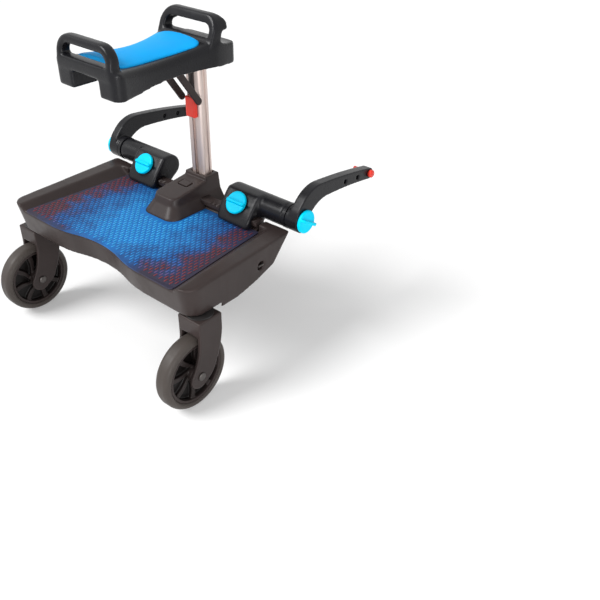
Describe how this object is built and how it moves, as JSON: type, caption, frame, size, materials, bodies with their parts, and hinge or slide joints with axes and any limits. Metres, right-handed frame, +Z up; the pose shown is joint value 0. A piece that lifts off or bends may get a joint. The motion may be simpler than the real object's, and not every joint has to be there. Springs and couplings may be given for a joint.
{
  "type": "ride-on buggy board",
  "caption": "Wheeled board that hangs behind a pram for an older child to stand on, with a folding saddle on a post, trailing casters and adjustable connector arms.",
  "frame": {"origin": "centre of the bounding box at floor level, wheels trailing and arms level forward", "axes": "X to the right seen from behind, Y forward to the pram, Z up"},
  "size_m": [0.4814, 0.48, 0.514],
  "materials": {
    "black_plastic": "fine moulded grain, satin",
    "tyre_rubber": "smooth satin",
    "mat_rubber": "ribbed grip",
    "pad_foam": "soft closed-cell foam skin",
    "cyan_plastic": "smooth",
    "red_plastic": "smooth",
    "silver_aluminium": "satin anodised",
    "bush_nylon": "plain",
    "steel": "zinc plated"
  },
  "bodies": {
    "board": {"deck_tray": "black_plastic", "grip_mat": "mat_rubber", "front_rail": "black_plastic", "deck_screws": "steel", "saddle_socket": "black_plastic", "strap_pin_right": "steel", "stem_bush_right": "bush_nylon", "strap_pin_left": "steel", "stem_bush_left": "bush_nylon"},
    "caster_right": {"caster_fork_right": "black_plastic", "caster_stem_right": "steel", "axle_bolt_right": "steel", "axle_nut_right": "steel"},
    "wheel_right": {"tyre_right": "tyre_rubber", "wheel_hub_right": "black_plastic", "wheel_bush_right": "bush_nylon"},
    "extender_right": {"extender_housing_right": "black_plastic", "clamp_jaw_right": "black_plastic", "tube_ring_right": "black_plastic", "arm_bolt_right": "steel"},
    "clamp_right": {"clamp_knob_right": "cyan_plastic", "clamp_screw_right": "steel"},
    "arm_right": {"connector_arm_right": "black_plastic"},
    "arm_grip_right": {"arm_knob_right": "cyan_plastic"},
    "pin_right": {"lock_pin_right": "red_plastic"},
    "caster_left": {"caster_fork_left": "black_plastic", "caster_stem_left": "steel", "axle_bolt_left": "steel", "axle_nut_left": "steel"},
    "wheel_left": {"tyre_left": "tyre_rubber", "wheel_hub_left": "black_plastic", "wheel_bush_left": "bush_nylon"},
    "extender_left": {"extender_housing_left": "black_plastic", "clamp_jaw_left": "black_plastic", "tube_ring_left": "black_plastic", "arm_bolt_left": "steel"},
    "clamp_left": {"clamp_knob_left": "cyan_plastic", "clamp_screw_left": "steel"},
    "arm_left": {"connector_arm_left": "black_plastic"},
    "arm_grip_left": {"arm_knob_left": "cyan_plastic"},
    "pin_left": {"lock_pin_left": "red_plastic"},
    "button": {"release_button": "black_plastic"},
    "post": {"saddle_post": "silver_aluminium", "post_head": "black_plastic"},
    "saddle": {"saddle_shell": "black_plastic", "saddle_pad": "pad_foam", "hinge_pin": "steel", "strut_pin": "steel"},
    "strut": {"fold_strut": "black_plastic"},
    "slider": {"lock_slider": "red_plastic"}
  },
  "joints": [
    {"name": "caster_swivel_right", "type": "hinge", "parent": "board", "child": "caster_right", "pos_m": [0.203, -0.152, 0.15], "axis": [0, 0, 1], "continuous": true},
    {"name": "wheel_spin_right", "type": "hinge", "parent": "caster_right", "child": "wheel_right", "pos_m": [0.203, -0.1775, 0.0625], "axis": [1, 0, 0], "continuous": true},
    {"name": "extender_slide_right", "type": "slide", "parent": "board", "child": "extender_right", "axis": [1, 0, 0], "range_m": [-0.006, 0.01]},
    {"name": "clamp_turn_right", "type": "hinge", "parent": "extender_right", "child": "clamp_right", "pos_m": [0.113, 0.025, 0.236], "axis": [0, -0.766, 0.6428], "range_deg": [0, 180]},
    {"name": "arm_pivot_right", "type": "hinge", "parent": "extender_right", "child": "arm_right", "pos_m": [0.2033, 0.056, 0.232], "axis": [1, 0, 0], "range_deg": [-60, 88]},
    {"name": "arm_knob_turn_right", "type": "hinge", "parent": "extender_right", "child": "arm_grip_right", "pos_m": [0.2283, 0.056, 0.232], "axis": [1, 0, 0], "range_deg": [0, 180]},
    {"name": "lock_pin_pull_right", "type": "slide", "parent": "arm_right", "child": "pin_right", "axis": [1, 0, 0], "range_m": [0, 0.025]},
    {"name": "caster_swivel_left", "type": "hinge", "parent": "board", "child": "caster_left", "pos_m": [-0.203, -0.152, 0.15], "axis": [0, 0, 1], "continuous": true},
    {"name": "wheel_spin_left", "type": "hinge", "parent": "caster_left", "child": "wheel_left", "pos_m": [-0.203, -0.1775, 0.0625], "axis": [1, 0, 0], "continuous": true},
    {"name": "extender_slide_left", "type": "slide", "parent": "board", "child": "extender_left", "axis": [-1, 0, 0], "range_m": [-0.006, 0.01]},
    {"name": "clamp_turn_left", "type": "hinge", "parent": "extender_left", "child": "clamp_left", "pos_m": [-0.113, 0.025, 0.236], "axis": [0, -0.766, 0.6428], "range_deg": [0, 180]},
    {"name": "arm_pivot_left", "type": "hinge", "parent": "extender_left", "child": "arm_left", "pos_m": [-0.2033, 0.056, 0.232], "axis": [1, 0, 0], "range_deg": [-60, 88]},
    {"name": "arm_knob_turn_left", "type": "hinge", "parent": "extender_left", "child": "arm_grip_left", "pos_m": [-0.2283, 0.056, 0.232], "axis": [-1, 0, 0], "range_deg": [0, 180]},
    {"name": "lock_pin_pull_left", "type": "slide", "parent": "arm_left", "child": "pin_left", "axis": [-1, 0, 0], "range_m": [0, 0.025]},
    {"name": "button_press", "type": "slide", "parent": "board", "child": "button", "axis": [0, 0.128, -0.9918], "range_m": [0, 0.003], "stiffness_N_per_m": 500, "springref_m": -0.001},
    {"name": "post_lift", "type": "slide", "parent": "board", "child": "post", "axis": [0, 0, 1], "range_m": [0, 0.048]},
    {"name": "saddle_fold", "type": "hinge", "parent": "post", "child": "saddle", "pos_m": [0, 0.052, 0.446], "axis": [1, 0, 0], "range_deg": [0, 90]},
    {"name": "strut_fold", "type": "hinge", "parent": "saddle", "child": "strut", "pos_m": [0, -0.004, 0.442], "axis": [1, 0, 0], "range_deg": [-137, 0]},
    {"name": "slider_run", "type": "slide", "parent": "post", "child": "slider", "axis": [0, 0, 1], "range_m": [-0.066, 0]}
  ],
  "couplings": [
    {"joint": "strut_fold", "follows": "saddle_fold", "ratio": -1.5125},
    {"joint": "slider_run", "follows": "saddle_fold", "m_per_rad": -0.04125}
  ]
}
